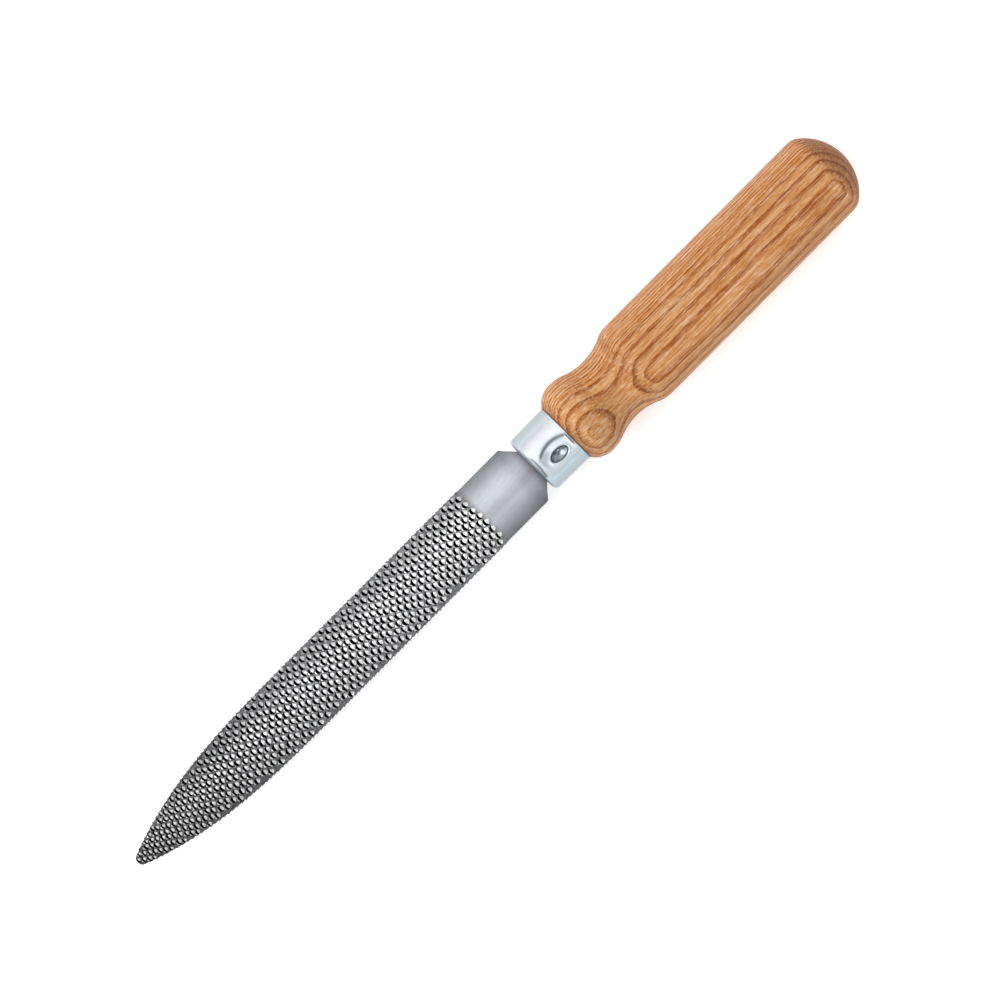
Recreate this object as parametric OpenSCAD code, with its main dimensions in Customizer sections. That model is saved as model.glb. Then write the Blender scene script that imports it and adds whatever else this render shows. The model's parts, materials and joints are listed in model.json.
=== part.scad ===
// Half-round wood rasp: a toothed steel blade with a tapered tang, a drawn steel
// ferrule with one crimp, and a turned hardwood handle.
// +X runs along the tool towards the blade's tip. +Z is up, on the blade's round side.
// The origin is on the handle's axis, at the middle of its straight grip.
// All sizes are in millimetres.

/* [Blade] */
// Length of the blade from its shoulder to its tip
blade_len = 150; // [130:1:180]
// Width of the blade at the heel
blade_w = 19.8; // [18:0.1:21]
// Thickness of the blade at the heel
blade_t = 5; // [4.6:0.1:6]
// Height of the narrow face along each edge
edge_h = 0.9; // [0.7:0.05:1.2]
// Length of the curved taper, measured back from the tip
taper_len = 69; // [50:1:90]
// Fullness of the taper's curve
taper_power = 3.15; // [2:0.05:4]
// Half of the width at the blunt tip
tip_half_w = 1.25; // [1:0.05:2]
// Length of the smooth heel, with no teeth
heel_len = 14.9; // [10:0.1:25]

/* [Teeth] */
// Distance along the blade from one row of teeth to the next
tooth_pitch_x = 1.76; // [1.6:0.02:2.6]
// Distance across the blade between teeth in one row
tooth_pitch_y = 2.22; // [2:0.02:3]
// Sideways shift of each row, which sets the teeth on diagonals
tooth_shift = 1.13; // [0.6:0.01:1.6]
// Height of the teeth above the surface
tooth_h = 0.55; // [0.3:0.05:0.8]
// Height of the small teeth along the edges
edge_tooth_h = 0.3; // [0.1:0.05:0.5]

/* [Tang] */
// Length of the tang behind the shoulder
tang_len = 54; // [40:1:58]
// Thickness of the tang at the ferrule
tang_t = 4; // [3.5:0.1:4.2]
// Width and thickness of the tang's end
tang_tip = 3; // [2.6:0.1:3.4]

/* [Ferrule] */
// Length of the ferrule
ferrule_len = 13.1; // [12:0.1:14]
// Radius of the ferrule at the wood
ferrule_r = 9.45; // [9.3:0.05:9.5]
// Radius of the ferrule just behind its rounded front
ferrule_front_r = 9.35; // [9.2:0.05:9.45]
// Wall thickness
ferrule_wall = 1; // [0.8:0.05:1.1]
// Radius of the rounded front edge
ferrule_round = 1.6; // [1.3:0.05:1.8]
// Radius of the opening in the front for the tang
ferrule_hole_r = 6.7; // [6.6:0.05:6.9]
// Angle of the crimp from the top of the tool
crimp_angle = 19; // [0:1:90]
// Depth of the crimp's punch mark
crimp_depth = 1.5; // [1:0.05:1.6]

/* [Handle] */
// Length of the straight grip
grip_len = 71.2; // [60:0.2:95]
// Radius of the straight grip
grip_r = 13.05; // [12.9:0.05:14]
// Radius of the narrow neck
neck_r = 10.5; // [10.2:0.05:10.8]
// Radius of the bulb behind the ferrule
bulb_r = 12.62; // [12.4:0.02:12.8]
// Radius of the rounded butt
butt_round = 15.4; // [14.4:0.1:16]
// Radius of the blend between the grip and the butt
butt_blend = 5; // [4:0.1:6]

/* [Hidden] */
$fn = 96;

big = 60;                   // reach of cutting shapes
lap = 1;                    // overlap between joined parts of the handle's outline
gap = 0.02;                 // clearance where wood meets metal
inset = 0.1;                // the toothed part sits this much inside the smooth heel

function sine_from(cosine) = sqrt(1 - cosine * cosine);
function backwards(v) = [for (j = [len(v) - 1:-1:0]) v[j]];
function between(a, b, share) = a * (1 - share) + b * share;
function span(first, final) = [for (j = [first:final]) j];
function mean(v, i = 0) = i == len(v) ? [0, 0, 0] : v[i] / len(v) + mean(v, i + 1);
// Running totals of a list of numbers, from a starting total.
function sums(v, total = 0, i = 0) =
    i == len(v) ? [total] : concat([total], sums(v, total + v[i], i + 1));

// Radii of the arcs in the handle's outline
blend_arc = 8.5;            // grip to neck, convex
neck_arc = 17.4;            // neck, concave
bulb_rear_arc = 14.65;      // bulb towards the neck, convex
bulb_front_arc = 6.62;      // bulb towards the ferrule, convex

// Positions along X, from the grip forwards. The cosines are of the angles
// where the convex arcs run into the concave neck.
grip_x = grip_len / 2;
blend_cos = 1 - (grip_r - neck_r) / (blend_arc + neck_arc);
neck_x = grip_x + (blend_arc + neck_arc) * sine_from(blend_cos);
bulb_cos = 1 - (bulb_r - neck_r) / (bulb_rear_arc + neck_arc);
bulb_x = neck_x + (bulb_rear_arc + neck_arc) * sine_from(bulb_cos);
rim_x = bulb_x + 5.67;      // where the wood meets the ferrule's rear end
front_x = rim_x + ferrule_len;
shoulder_x = front_x + 4.4; // corners of the blade's shoulder
heel_x = shoulder_x + heel_len;
tip_x = shoulder_x + blade_len;

// Arc centres and joins in the handle's outline: [radius, axial position]
blend_c = [grip_r - blend_arc, grip_x];
neck_c = [neck_r + neck_arc, neck_x];
bulb_rear_c = [bulb_r - bulb_rear_arc, bulb_x];
bulb_front_c = [bulb_r - bulb_front_arc, bulb_x];
rear_join = blend_c + blend_arc * [blend_cos, sine_from(blend_cos)];
front_join = bulb_rear_c + bulb_rear_arc * [bulb_cos, -sine_from(bulb_cos)];

// Butt: a large arc centred on the axis, blended into the grip
butt_blend_c = [grip_r - butt_blend, -grip_x];
butt_c = [0, -grip_x + sqrt(pow(butt_round - butt_blend, 2) - pow(grip_r - butt_blend, 2))];
butt_dir = (butt_blend_c - butt_c) / norm(butt_blend_c - butt_c);

// Blade section: a flat underside, short upright edges and a circular round side
flat_z = -0.48 * blade_t;
rise = blade_t - edge_h;
back_r = (pow(blade_w / 2, 2) + rise * rise) / (2 * rise);

// Shoulder: a shallow round notch on each side, between the blade and the tang
notch_r = 30;
notch_x = shoulder_x - 24.84;
notch_y = blade_w / 2 + 17.9;
heel_rear = shoulder_x - 2.9;

// Tang: parallel from parallel_x forwards, and tapered behind it
tang_front = shoulder_x - 1.6;
parallel_x = front_x - 2.2;
tang_bend_x = rim_x + 2.2;  // where the taper in plan changes slope
tang_end = heel_rear - tang_len;
tang_half = 5.6;
tang_bend_half = 3.7;
root_half = tang_half + 1.6;

// Crimp: an oval punch mark in the middle of a wide shallow dent
crimp_x = rim_x + 5.5;
crimp_seat = (ferrule_front_r + ferrule_r) / 2; // ferrule radius taken at the crimp
punch_r = 1.9;
punch_half = 3;             // half of the oval's length
dent_r = 14;
dent_depth = 0.45;

// Toothed body: rounding of the tip and rise of the edges near it
tip_round_len = 1.2;
tip_round_depth = 0.75;     // 1 would round the tip's plan to a point
edge_rise = 0.6;
edge_rise_len = 30;

// Half-width of the toothed body at a distance s from the tip.
function plan(s) = let (ease = max(0, 1 - s / taper_len))
    tip_half_w + (blade_w / 2 - tip_half_w) * (1 - pow(ease, taper_power)) - inset;
function half_w(s) = s < tip_round_len
    ? plan(tip_round_len) * sqrt(1 - tip_round_depth * pow(1 - s / tip_round_len, 2))
    : plan(s);
// Height of the upright edge, a little taller near the tip.
function edge_at(s) = edge_h - inset + edge_rise * pow(max(0, 1 - s / edge_rise_len), 2);
// Z of the round side.
function back_z(s, y) = flat_z + inset + edge_at(s)
    + sqrt(back_r * back_r - y * y) - sqrt(back_r * back_r - half_w(s) * half_w(s));

// Stations along the toothed body: one inside the heel, the tooth rows, then the tip
teeth_x0 = heel_x + 0.7;
teeth_x1 = tip_x - tip_round_len;
row_n = round((teeth_x1 - teeth_x0) / tooth_pitch_x);
row_dx = (teeth_x1 - teeth_x0) / row_n;
stations = concat([heel_x - 1], [for (i = [0:row_n]) teeth_x0 + i * row_dx],
    [tip_x - 0.5, tip_x - 0.12]);
last = len(stations) - 1;

rim_gap = 0.4;              // least distance from a tooth corner to the blade's edge
row_phase = 0.3;            // start of the diagonal shift, in rows
corner_offset = 0.4;        // sideways offset of the whole tooth pattern
tooth_place = 0.8;          // place of a tooth's point along its cell, rear to front
edge_tooth_place = 0.75;
whole_bonus = 0.2;          // added to the relative height of teeth on four-cornered cells
bare_h = 0.02;              // height of the points in strips without teeth

// side is 1 on the round side and -1 on the flat underside, or the sign of Y for edges.
// Tooth corners on station i are at corner_y for each whole k from k_low to k_high.
function corner_y(i, k, side) =
    k * tooth_pitch_y + side * tooth_shift * (i + row_phase) + corner_offset;
function station_half(i) = half_w(tip_x - stations[i]);
function corner_limit(i) = station_half(i) - rim_gap;
function k_low(i, side) = ceil((-corner_limit(i) - corner_y(i, 0, side)) / tooth_pitch_y);
function k_high(i, side) = floor((corner_limit(i) - corner_y(i, 0, side)) / tooth_pitch_y);
function station_y(i, side) = let (low = k_low(i, side), high = k_high(i, side)) concat(
    [-station_half(i)],
    low > high ? [] : [for (k = [low:high]) corner_y(i, k, side)],
    [station_half(i)]);
function skin_pt(x, y, side) = let (s = tip_x - x)
    [x, y, side > 0 ? back_z(s, min(abs(y), half_w(s))) : flat_z + inset];
function outward(y, side) = side > 0 ? [0, y / back_r, sine_from(y / back_r)] : [0, 0, -1];

// Corner points of both faces, station by station. The starts are the number of
// each station's first point, with the number after the last point at the end.
function face_rows(side) = [for (i = [0:last]) station_y(i, side)];
function face_pts(rows, side) =
    [for (i = [0:last]) for (y = rows[i]) skin_pt(stations[i], y, side)];
top_rows = face_rows(1);
low_rows = face_rows(-1);
top_pts = face_pts(top_rows, 1);
skin_pts = concat(top_pts, face_pts(low_rows, -1));
top_starts = sums([for (row = top_rows) len(row)]);
low_starts = sums([for (row = low_rows) len(row)], len(top_pts));

// Each strip between two stations is a line of cells. A cell is [point numbers on
// station i, point numbers on station i + 1], both counted from -Y to +Y.
// Corner k has the number rear_zero + k or front_zero + k.
function strip(i, side, starts) = let (
        low = max(k_low(i, side), k_low(i + 1, side)),
        high = min(k_high(i, side), k_high(i + 1, side)),
        rear_zero = starts[i] - k_low(i, side) + 1,
        front_zero = starts[i + 1] - k_low(i + 1, side) + 1,
        rear_end = starts[i + 1] - 1,
        front_end = starts[i + 2] - 1)
    low > high ? [[span(starts[i], rear_end), span(starts[i + 1], front_end)]]
    : concat(
        [[span(starts[i], rear_zero + low), span(starts[i + 1], front_zero + low)]],
        low == high ? [] : [for (k = [low:high - 1])
            [span(rear_zero + k, rear_zero + k + 1), span(front_zero + k, front_zero + k + 1)]],
        [[span(rear_zero + high, rear_end), span(front_zero + high, front_end)]]);
function ring_of(cell) = concat(cell[0], backwards(cell[1]));

// The first strip and those at the tip have no teeth.
function is_bare(i) = i == 0 || i >= last - 2;

// Tooth point of a cell: near its front, raised along the surface normal.
// Cells cut by the blade's edge carry lower teeth.
function tooth(i, cell, side) = let (
        rear = [for (j = cell[0]) skin_pts[j]],
        front = [for (j = cell[1]) skin_pts[j]],
        foot = between(mean(rear), mean(front), is_bare(i) ? 0.5 : tooth_place),
        whole = len(rear) == 2 && len(front) == 2,
        width = rear[len(rear) - 1][1] - rear[0][1],
        height = is_bare(i) ? bare_h
            : tooth_h * min(1, width / tooth_pitch_y + (whole ? whole_bonus : 0)))
    skin_pt(foot[0], foot[1], side) + height * outward(foot[1], side);

// Lists of [strip number, cell]
function face_cells(side, starts) =
    [for (i = [0:last - 1]) for (cell = strip(i, side, starts)) [i, cell]];
top_cells = face_cells(1, top_starts);
low_cells = face_cells(-1, low_starts);
top_teeth = [for (c = top_cells) tooth(c[0], c[1], 1)];
low_teeth = [for (c = low_cells) tooth(c[0], c[1], -1)];

// Edge teeth, one on each side of every strip
sides = [1, -1];
edge_teeth = [for (side = sides) for (i = [0:last - 1]) let (
        x = between(stations[i], stations[i + 1], edge_tooth_place),
        s = tip_x - x,
        height = is_bare(i) ? bare_h : edge_tooth_h)
    [x, side * (half_w(s) + height), flat_z + inset + edge_at(s) / 2]];

// Middle points of the rear and front end faces
end_pts = [
    [stations[0], 0, flat_z + blade_t / 2],
    [stations[last], 0, flat_z + inset + edge_at(0) / 2]];

// Number of the first point in each list of raised points
top_tooth_0 = len(skin_pts);
low_tooth_0 = top_tooth_0 + len(top_teeth);
edge_tooth_0 = low_tooth_0 + len(low_teeth);
end_0 = edge_tooth_0 + len(edge_teeth);

function fan(ring, apex) =
    [for (j = [0:len(ring) - 1]) [ring[j], ring[(j + 1) % len(ring)], apex]];
function rim_pt(starts, i, side) = side > 0 ? starts[i + 1] - 1 : starts[i];
function edge_ring(i, side) = let (a = side > 0 ? i + 1 : i, b = side > 0 ? i : i + 1)
    [rim_pt(top_starts, a, side), rim_pt(top_starts, b, side),
     rim_pt(low_starts, b, side), rim_pt(low_starts, a, side)];
function end_ring(i) = concat(
    backwards(span(top_starts[i], top_starts[i + 1] - 1)),
    span(low_starts[i], low_starts[i + 1] - 1));

body_faces = concat(
    [for (j = [0:len(top_cells) - 1]) each fan(ring_of(top_cells[j][1]), top_tooth_0 + j)],
    [for (j = [0:len(low_cells) - 1])
        each fan(backwards(ring_of(low_cells[j][1])), low_tooth_0 + j)],
    [for (n = [0, 1]) for (i = [0:last - 1])
        each fan(edge_ring(i, sides[n]), edge_tooth_0 + n * last + i)],
    fan(end_ring(0), end_0),
    fan(backwards(end_ring(last)), end_0 + 1));

// The toothed body of the blade as one closed surface.
module toothed_body() {
    polyhedron(points = concat(skin_pts, top_teeth, low_teeth, edge_teeth, end_pts),
        faces = body_faces);
}

// Prism of the blade's section, from x0 to x1.
module half_round(x0, x1) {
    translate([x0, 0, 0]) rotate([90, 0, 90]) linear_extrude(height = x1 - x0) intersection() {
        translate([0, flat_z + blade_t - back_r]) circle(r = back_r, $fn = 360);
        translate([-blade_w / 2, flat_z]) square([blade_w, blade_t + 1]);
    }
}

module notches() {
    for (side = [-1, 1])
        translate([notch_x, side * notch_y, -big / 2]) cylinder(r = notch_r, h = big, $fn = 360);
}

// Polygon from the points of its +Y half, mirrored across the X axis.
module mirrored_polygon(half) {
    polygon(concat(half, backwards([for (p = half) [p[0], -p[1]]])));
}

// Tang: tapered in plan and in side view. grow adds clearance for the socket.
module tang(grow = 0) {
    intersection() {
        translate([0, 0, -big / 2]) linear_extrude(height = big) mirrored_polygon([
            [tang_front, tang_half + grow],
            [parallel_x, tang_half + grow],
            [tang_bend_x, tang_bend_half + grow],
            [tang_end - grow, tang_tip / 2 + grow]]);
        rotate([90, 0, 0]) translate([0, 0, -big / 2]) linear_extrude(height = big)
            mirrored_polygon([
                [tang_front, tang_t / 2],
                [rim_x, tang_t / 2],
                [tang_end - grow, tang_tip / 2]]);
    }
}

module blade() {
    color([0.56, 0.57, 0.59]) union() {
        toothed_body();
        // smooth heel, narrowed at the shoulder
        difference() {
            half_round(heel_rear, heel_x);
            notches();
        }
        // root of the tang between the notches, as thick as the tang
        difference() {
            translate([parallel_x, -root_half, -tang_t / 2])
                cube([tang_front - parallel_x, 2 * root_half, tang_t]);
            notches();
        }
        tang();
    }
}

// Turns an outline of [radius, axial position] about the X axis.
module turned() {
    rotate([0, 90, 0]) rotate_extrude($fn = 180) children();
}

// Ferrule outline, outside (wall = 0) or inside (wall = ferrule_wall).
module ferrule_outline(wall = 0) {
    round_c = [ferrule_front_r - ferrule_round, front_x - ferrule_round];
    union() {
        polygon([
            [0, rim_x], [ferrule_r - wall, rim_x],
            [ferrule_front_r - wall, round_c[1]], round_c,
            [round_c[0], front_x - wall], [0, front_x - wall]]);
        translate(round_c) intersection() {
            circle(r = ferrule_round - wall, $fn = 180);
            square([big, big]);
        }
    }
}

// Crimp shape. grow thickens it, for the metal pushed inwards and the recess in the wood.
module crimp(grow = 0) {
    lift = punch_r - crimp_depth;
    half = punch_half - sqrt(punch_r * punch_r - lift * lift);
    translate([crimp_x, 0, 0]) rotate([-crimp_angle, 0, 0]) union() {
        translate([-half, 0, crimp_seat + lift]) rotate([0, 90, 0])
            cylinder(r = punch_r + grow, h = 2 * half);
        for (end = [-1, 1])
            translate([end * half, 0, crimp_seat + lift]) sphere(r = punch_r + grow);
        translate([0, 0, crimp_seat + dent_r - dent_depth]) sphere(r = dent_r + grow, $fn = 180);
    }
}

module ferrule() {
    color([0.80, 0.83, 0.86]) difference() {
        union() {
            turned() difference() {
                ferrule_outline(0);
                ferrule_outline(ferrule_wall);
                square([ferrule_hole_r, front_x + 5]);
            }
            // metal pushed inwards by the crimp
            intersection() {
                turned() ferrule_outline(0);
                crimp(ferrule_wall);
            }
        }
        crimp(0);
    }
}

// Rounded butt and its blend into the grip.
module butt_outline() {
    intersection() {
        translate(butt_c) circle(r = butt_round, $fn = 360);
        polygon([butt_c, butt_c + big * butt_dir, [0, butt_c[1] - 2 * big]]);
    }
    intersection() {
        translate(butt_blend_c) circle(r = butt_blend, $fn = 180);
        polygon([
            butt_blend_c - 1.5 * butt_dir, butt_blend_c + [0, lap], butt_blend_c + [big, lap],
            butt_blend_c + [big, -big], butt_blend_c + big * butt_dir]);
    }
}

// Blend from the grip, then the concave neck.
module neck_outline() {
    translate(blend_c) circle(r = blend_arc, $fn = 180);
    difference() {
        polygon([
            [0, grip_x - lap], [blend_c[0], grip_x - lap], blend_c, rear_join,
            [rear_join[0], neck_x], [front_join[0], neck_x], front_join,
            [0, front_join[1] + 4]]);
        translate(neck_c) circle(r = neck_arc, $fn = 360);
    }
}

// Both arcs of the bulb, and the core between them and the ferrule.
module bulb_outline() {
    core_lap = 3;
    intersection() {
        translate(bulb_rear_c) circle(r = bulb_rear_arc, $fn = 360);
        translate([-big, bulb_x - big]) square([2 * big, big]);
    }
    intersection() {
        translate(bulb_front_c) circle(r = bulb_front_arc, $fn = 180);
        translate([-big, rim_x - big]) square([2 * big, big]);
    }
    translate([0, bulb_x - core_lap]) square([bulb_front_c[0] + lap, rim_x - bulb_x + core_lap]);
}

// Nose inside the ferrule.
module nose_outline() {
    rear_x = rim_x - 2;
    end_x = front_x - ferrule_wall - 0.2;
    rear_r = ferrule_r - ferrule_wall - gap;
    polygon([
        [0, rear_x], [rear_r, rear_x], [rear_r, rim_x],
        [ferrule_front_r - ferrule_wall - gap, front_x - ferrule_round],
        [ferrule_front_r - ferrule_round + 0.3, end_x], [0, end_x]]);
}

module handle_outline() {
    intersection() {
        union() {
            butt_outline();
            translate([0, -grip_x]) square([grip_r, grip_len]);
            neck_outline();
            bulb_outline();
            nose_outline();
        }
        // keep the half-plane of positive radius
        translate([0, -big * 2]) square([big, big * 4]);
    }
}

module handle() {
    color([0.84, 0.66, 0.47]) difference() {
        turned() handle_outline();
        // recess under the crimp, in the nose only
        intersection() {
            crimp(ferrule_wall + gap);
            translate([rim_x, 0, 0]) rotate([0, 90, 0])
                cylinder(r = ferrule_r, h = ferrule_len, $fn = 180);
        }
        // socket for the tang, and the end of the pilot hole beyond it
        tang(gap);
        translate([tang_end - 5, 0, 0]) rotate([0, 90, 0]) cylinder(r = tang_tip / 2, h = 8);
    }
}

blade();
ferrule();
handle();
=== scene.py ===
"""Half-round wood rasp with a ferrule and a turned wooden handle.

The tool lies along X, with the blade's tip at +X and the handle's butt at -X. The round back
of the blade faces +Z and its flat face -Z. Lengths are in millimetres until a mesh is made.
"""
import json
import math
import bpy
import numpy as np
from mathutils import Vector, Matrix
from mathutils.geometry import delaunay_2d_cdt


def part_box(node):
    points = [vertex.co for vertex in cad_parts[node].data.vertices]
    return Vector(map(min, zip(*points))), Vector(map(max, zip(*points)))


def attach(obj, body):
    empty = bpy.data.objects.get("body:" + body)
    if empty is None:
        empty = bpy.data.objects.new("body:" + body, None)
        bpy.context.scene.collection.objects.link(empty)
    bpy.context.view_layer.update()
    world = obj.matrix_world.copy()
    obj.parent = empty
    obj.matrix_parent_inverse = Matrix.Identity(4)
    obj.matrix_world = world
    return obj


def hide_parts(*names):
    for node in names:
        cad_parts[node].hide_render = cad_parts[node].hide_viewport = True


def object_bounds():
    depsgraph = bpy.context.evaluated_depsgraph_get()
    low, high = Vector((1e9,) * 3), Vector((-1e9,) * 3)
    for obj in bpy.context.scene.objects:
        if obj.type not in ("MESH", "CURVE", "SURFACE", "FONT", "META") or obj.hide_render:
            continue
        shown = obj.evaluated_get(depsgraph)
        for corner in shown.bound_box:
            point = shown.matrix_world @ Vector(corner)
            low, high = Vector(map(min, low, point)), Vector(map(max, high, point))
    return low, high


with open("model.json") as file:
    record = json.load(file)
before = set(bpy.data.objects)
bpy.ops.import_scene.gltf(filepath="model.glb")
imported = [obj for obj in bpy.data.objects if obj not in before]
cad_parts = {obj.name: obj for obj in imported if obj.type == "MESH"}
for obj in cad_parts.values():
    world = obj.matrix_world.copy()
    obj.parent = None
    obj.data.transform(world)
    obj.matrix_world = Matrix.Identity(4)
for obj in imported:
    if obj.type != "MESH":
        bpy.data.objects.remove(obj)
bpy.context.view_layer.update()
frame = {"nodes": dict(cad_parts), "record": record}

MM = 0.001          # one millimetre in metres
MM_PER_M = 1000

# ================================================================ POSITIONS FROM THE CAD FRAME
blade_lo, blade_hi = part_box("blade")
TIP_X = blade_hi.x * MM_PER_M
TANG_END = blade_lo.x * MM_PER_M
ferrule_lo, ferrule_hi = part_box("ferrule")
RIM_X = ferrule_lo.x * MM_PER_M          # rear rim of the ferrule
FRONT_X = ferrule_hi.x * MM_PER_M
GRIP_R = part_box("handle")[1].z * MM_PER_M
mounts = {mount["name"]: mount for mount in frame["record"]["mounts"]}
GRIP_HALF = mounts["handle_grip"]["dims"]["length_mm"] / 2
FLAT_Z = mounts["heel_flat"]["pos_m"][2] * MM_PER_M
SHOULDER_X = FRONT_X + 4.4
HEEL_X = SHOULDER_X + 14.9               # the teeth begin here


# ================================================================ SMALL HELPERS
def new_mesh(name, verts, faces, sharp_deg=None, values=None):
    """Mesh object from points in mm. It is shaded smooth when a sharp angle is given."""
    mesh = bpy.data.meshes.new(name)
    mesh.from_pydata((np.asarray(verts, float) * MM).tolist(), [], faces)
    for key, numbers in (values or {}).items():
        attribute = mesh.attributes.new(key, "FLOAT", "POINT")
        attribute.data.foreach_set("value", np.asarray(numbers, np.float32))
    mesh.validate()
    mesh.update()
    obj = bpy.data.objects.new(name, mesh)
    bpy.context.scene.collection.objects.link(obj)
    if sharp_deg is not None:
        mesh.polygons.foreach_set("use_smooth", np.ones(len(mesh.polygons), bool))
        mesh.set_sharp_from_angle(angle=math.radians(sharp_deg))
    return obj


def jitter(*keys):
    """Repeatable value in [-1, 1) hashed from the whole parts of the keys."""
    mask = 0xFFFFFFFF
    mixed = 2166136261
    for key in keys:
        mixed = ((mixed ^ (int(key) & mask)) * 16777619) & mask
        mixed ^= mixed >> 13
        mixed = (mixed * 2246822519) & mask
    return 2 * (((mixed ^ (mixed >> 16)) & mask) / 4294967296.0) - 1


def smooth_step(value, start, stop):
    t = min(1.0, max(0.0, (value - start) / (stop - start)))
    return t * t * (3 - 2 * t)


def arc_points(centre_r, centre_x, radius, start, stop, steps, first=1):
    """(radius, x) points of an arc. Angles run from straight outwards towards +X."""
    angles = [start + (stop - start) * k / steps for k in range(first, steps + 1)]
    return [(centre_r + radius * math.cos(angle), centre_x + radius * math.sin(angle))
            for angle in angles]


def ring_faces(ring, following, count):
    """Quads between two rings of count points, given by their first indices."""
    faces = []
    for k in range(count):
        after = (k + 1) % count
        faces.append((ring + k, ring + after, following + after, following + k))
    return faces


# ================================================================ BLADE OUTLINE
HEEL_HALF = 9.9         # half-width at the heel
HALF_INSET = 0.05       # the outline stays this far inside it
TIP_HALF = 1.25
TIP_ROUND = 1.3         # length of the rounded tip
TAPER = 69.0            # length over which the width tapers to the tip
TAPER_POWER = 3.15
EDGE = 0.9              # height of the upright edges
THICK = 5.0
RISE = THICK - EDGE
BACK_R = (HEEL_HALF * HEEL_HALF + RISE * RISE) / (2 * RISE)
NOTCH_R = 30.0          # round notches narrow the blade at the shoulder
NOTCH_Y = HEEL_HALF + 17.9
NOTCH_X = SHOULDER_X - 24.84
CORNER_X = NOTCH_X + math.sqrt(NOTCH_R ** 2 - (NOTCH_Y - HEEL_HALF + HALF_INSET) ** 2)
TANG_HALF = 5.6
SKIN_END = FRONT_X - 1.4        # the skin ends just inside the ferrule


def taper_half(from_tip):
    left = max(0.0, 1 - from_tip / TAPER)
    return TIP_HALF + (HEEL_HALF - HALF_INSET - TIP_HALF) * (1 - left ** TAPER_POWER)


def half_width(x):
    """Half-width of the blade at x, without the edge teeth."""
    from_tip = TIP_X - x
    if from_tip < TIP_ROUND:
        rounding = 1 - 0.92 * (1 - from_tip / TIP_ROUND) ** 2
        return taper_half(TIP_ROUND) * math.sqrt(max(0.0, rounding))
    y = taper_half(from_tip)
    if x < SHOULDER_X + 1:
        dx = x - NOTCH_X
        notch = max(TANG_HALF, NOTCH_Y - math.sqrt(max(0.0, NOTCH_R * NOTCH_R - dx * dx)))
        # small rounded corner where the notch meets the edge
        y = min(notch, y) - max(0.0, 0.35 - abs(notch - y)) ** 2 / 1.4
    return y


def back_centre_z(x):
    """Height of the centre of curvature of the round back."""
    from_tip = TIP_X - x
    half = taper_half(max(TIP_ROUND, from_tip))
    edge_height = EDGE + 0.6 * max(0.0, 1 - from_tip / 30) ** 2
    return FLAT_Z + edge_height - math.sqrt(BACK_R ** 2 - half * half)


def top_point(x, arc, height):
    """Point of the round back, at an arc length from the crown and a height above the back."""
    angle = arc / BACK_R
    radius = BACK_R + height
    return (x, radius * math.sin(angle), back_centre_z(x) + radius * math.cos(angle))


def low_point(x, y, height):
    return (x, y, FLAT_Z - height)


def build_stations():
    """Stations along X shared by both faces and the edges, and how far the edge stands out."""
    stations = list(np.linspace(SKIN_END, CORNER_X - 0.50, 22))
    around_corner = (-0.36, -0.24, -0.14, -0.06, 0.02, 0.10, 0.18, 0.28, 0.42, 0.80)
    stations += [CORNER_X + dx for dx in around_corner]
    stations += list(np.arange(CORNER_X + 1.4, HEEL_X - 0.3, 0.8))
    spikes = [0.0] * len(stations)
    x = HEEL_X
    n = 0
    # the edges carry small teeth of their own: steep towards the tip, long towards the handle
    while x < TIP_X - 2.6:
        pitch = 1.5 * (1 + 0.10 * jitter(7, n))
        stations += [x + part * pitch for part in (0.0, 0.30, 0.62, 0.93)]
        if x < TIP_X - 2.9:
            spikes += [0.0, 0.09, 0.20, 0.30 * (1 + 0.25 * jitter(11, n))]
        else:
            spikes += [0.0] * 4
        x += pitch
        n += 1
    rest = TIP_X - 0.02 - x
    to_tip = (0.0, 0.25, 0.5, 0.68, 0.8, 0.88, 0.94, 0.98, 1.0)
    stations += [x + part * rest for part in to_tip]
    spikes += [0.0] * len(to_tip)
    return [float(x) for x in stations], spikes


STATIONS, SPIKES = build_stations()


# ================================================================ RASP TEETH
# Places across a tooth, as parts of its half-width.
CREST_ROW = (-0.97, -0.8, -0.56, -0.28, 0.0, 0.28, 0.56, 0.8, 0.97)
PIT_ROW = (-0.84, -0.44, 0.0, 0.44, 0.84)
PIT_RIM_ROW = (-0.98, -0.8, -0.42, 0.0, 0.42, 0.8, 0.98)
SURROUND_ROW = (-1.04, -0.86, -0.62, -0.32, 0.0, 0.32, 0.62, 0.86, 1.04)
# Rows behind the crest: places across, part of the tail's length, and gloss, which the steel
# also paints as a highlight.
TAIL_ROWS = (
    ((-0.76, -0.4, 0.0, 0.4, 0.76), 0.17, 1.0),
    ((-0.66, -0.33, 0.0, 0.33, 0.66), 0.42, 0.82),
    ((-0.42, 0.0, 0.42), 0.72, 0.42),
)


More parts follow.
